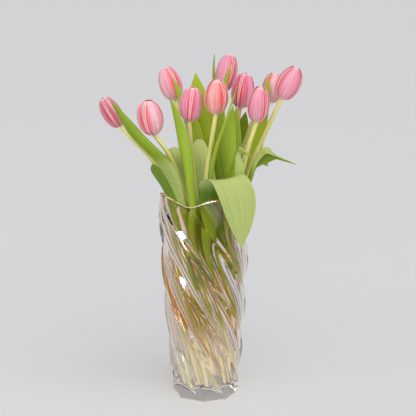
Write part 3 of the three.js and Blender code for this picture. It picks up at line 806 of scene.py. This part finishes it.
def make_petal(i, tulip, placing):
    """The petal i of a head, whose own upright frame placing turns into the real one."""
    kind = INNER_PETAL if i % 2 else OUTER_PETAL
    base = Vector(tulip.base)
    length = (Vector(tulip.tip) - base).length * kind.length
    flare = tulip.opened * kind.flare

    def place(across, along):
        u = 2 * across - 1
        share = along - kind.cusp * u * u * along ** 6
        arc = math.pi * mix(EGG_START, 1 - EGG_START + kind.closing * share ** 6, share)
        up = length * ((1 - math.cos(arc)) / 2) ** 1.1
        out = tulip.bud_radius * math.sin(arc) ** 0.95 + flare * share ** 3
        out -= kind.inset * (1 - 0.8 * share ** 8)
        narrowed = 1 - 0.10 * (1 - along) ** 4 - kind.narrowing * along ** 3
        rounded = math.sqrt(1 - 0.97 * along ** kind.bluntness)
        angle = 360 / PETALS * i + u * PETAL_HALF_ANGLE * narrowed * rounded
        return base + placing @ (bearing(angle) * out + Vector((0, 0, up)))

    petal = wrapped_grid(f"petal_{i}", PETAL_COLUMNS, PETAL_ROWS, place)
    thicken(petal, PETAL_THICKNESS)
    return petal


def make_head(name, tulip, skin):
    upright = Vector((0, 0, 1)).rotation_difference(Vector(tulip.tip) - Vector(tulip.base)).to_matrix()
    placing = upright @ Matrix.Rotation(math.radians(tulip.turn), 3, "Z")
    petals = [make_petal(i, tulip, placing) for i in range(PETALS)]
    select_only(petals[0])
    for petal in petals:
        petal.select_set(True)
    bpy.ops.object.join()
    head = bpy.context.object
    head.name = f"head_{name}"
    finish_mesh(head, [skin, skin])
    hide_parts(f"bloom_{name}")
    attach(head, "root")


petal_skins = {tone: petal_skin(tone) for tone in PETAL_TONES}
for number, (tulip, tone) in enumerate(zip(TULIPS, HEAD_TONES), start=1):
    make_head(f"{number:02d}", tulip, petal_skins[tone])

# ---------------------------------------------------------------- the stage
# A plain pale floor, soft studio light from large lamps and the room, and the camera where the photograph
# was taken from. None of it belongs to the object. Places and sizes here are in metres.

FLOOR_GREY = (0.72, 0.72, 0.72, 1)
LAMPS_AIM = (0, 0, 0.2)
DAYLIGHT_POWER = 2.0
DAYLIGHT_SPREAD = 70  # degrees
DAYLIGHT_DIRECTION = (-0.35, 0.80, -1)
ROOM_COLOUR = (0.96, 0.96, 1.0, 1)
ROOM_DIM = 0.30  # behind the camera
ROOM_BRIGHT = 0.62  # behind the vase
CAMERA_PLACE = (0.0047, -1.634, 0.664)
CAMERA_PITCH = 14.5  # degrees below level
CAMERA_ROLL = -0.48
CAMERA_LENS = 117.95


def make_floor():
    bpy.ops.object.select_all(action="DESELECT")
    bpy.ops.mesh.primitive_plane_add(size=30)
    floor = bpy.context.object
    floor.name = "floor"
    material, tree, shader = new_material("floor_paint")
    set_inputs(tree, shader, {"Base Color": FLOOR_GREY, "Roughness": 0.5})
    floor.data.materials.append(material)


def add_to_scene(name, data):
    thing = bpy.data.objects.new(name, data)
    bpy.context.scene.collection.objects.link(thing)
    return thing


def make_lamp(name, place, power, size, tall=None, only_on=()):
    """A square lamp, or a tall one. One that is only on some pieces leaves the floor and the rest unlit."""
    light = bpy.data.lights.new(name, "AREA")
    light.energy = power
    light.size = size
    if tall:
        light.shape = "RECTANGLE"
        light.size_y = tall
    lamp = add_to_scene(name, light)
    lamp.location = place
    lamp.rotation_euler = (Vector(LAMPS_AIM) - Vector(place)).to_track_quat("-Z", "Y").to_euler()
    if only_on:
        lit = bpy.data.collections.new(name)
        for piece in only_on:
            lit.objects.link(piece)
        lamp.light_linking.receiver_collection = lit


def make_daylight():
    """Soft light from high up, as even near the vase as far from it."""
    light = bpy.data.lights.new("daylight", "SUN")
    light.energy = DAYLIGHT_POWER
    light.angle = math.radians(DAYLIGHT_SPREAD)
    lamp = add_to_scene("daylight", light)
    lamp.rotation_euler = Vector(DAYLIGHT_DIRECTION).to_track_quat("-Z", "Y").to_euler()


def make_room():
    """Even light from all round, dimmer from behind the camera."""
    world = bpy.data.worlds.new("room")
    bpy.context.scene.world = world
    world.use_nodes = True
    tree = world.node_tree
    direction = add_node(tree, "ShaderNodeTexCoord").outputs["Generated"]
    depth = add_node(tree, "ShaderNodeSeparateXYZ", {0: direction}).outputs[1]
    strength = ramp(tree, depth, -1.0, 1.0, ROOM_DIM, ROOM_BRIGHT)
    set_inputs(tree, tree.nodes["Background"], {"Color": ROOM_COLOUR, "Strength": strength})


def make_camera():
    camera = add_to_scene("camera", bpy.data.cameras.new("camera"))
    camera.data.lens = CAMERA_LENS
    pitch = Matrix.Rotation(math.radians(90 - CAMERA_PITCH), 4, "X")
    roll = Matrix.Rotation(math.radians(CAMERA_ROLL), 4, "Z")
    camera.matrix_world = Matrix.Translation(CAMERA_PLACE) @ pitch @ roll
    bpy.context.scene.camera = camera


make_floor()
make_daylight()
make_lamp("key", (-1.3, -1.0, 1.7), power=5, size=1.1)
glass = [bpy.data.objects["glass_vase"]]
plants = [piece for piece in bpy.data.objects if piece.name.startswith(("stalk_", "blade_", "head_"))]
make_lamp("fill", (-0.6, -1.7, 0.8), power=9, size=0.9, only_on=plants)
make_lamp("strip_high", (-0.62, -1.56, 0.74), power=65, size=0.4, tall=1.0, only_on=glass)
make_lamp("strip_low", (-0.55, -1.57, 0.48), power=40, size=0.3, tall=0.6, only_on=glass)
make_lamp("skylight", (0.1, 0.3, 1.6), power=20, size=0.5, only_on=glass)
make_camera()
make_room()
bpy.context.scene.view_settings.view_transform = "Standard"
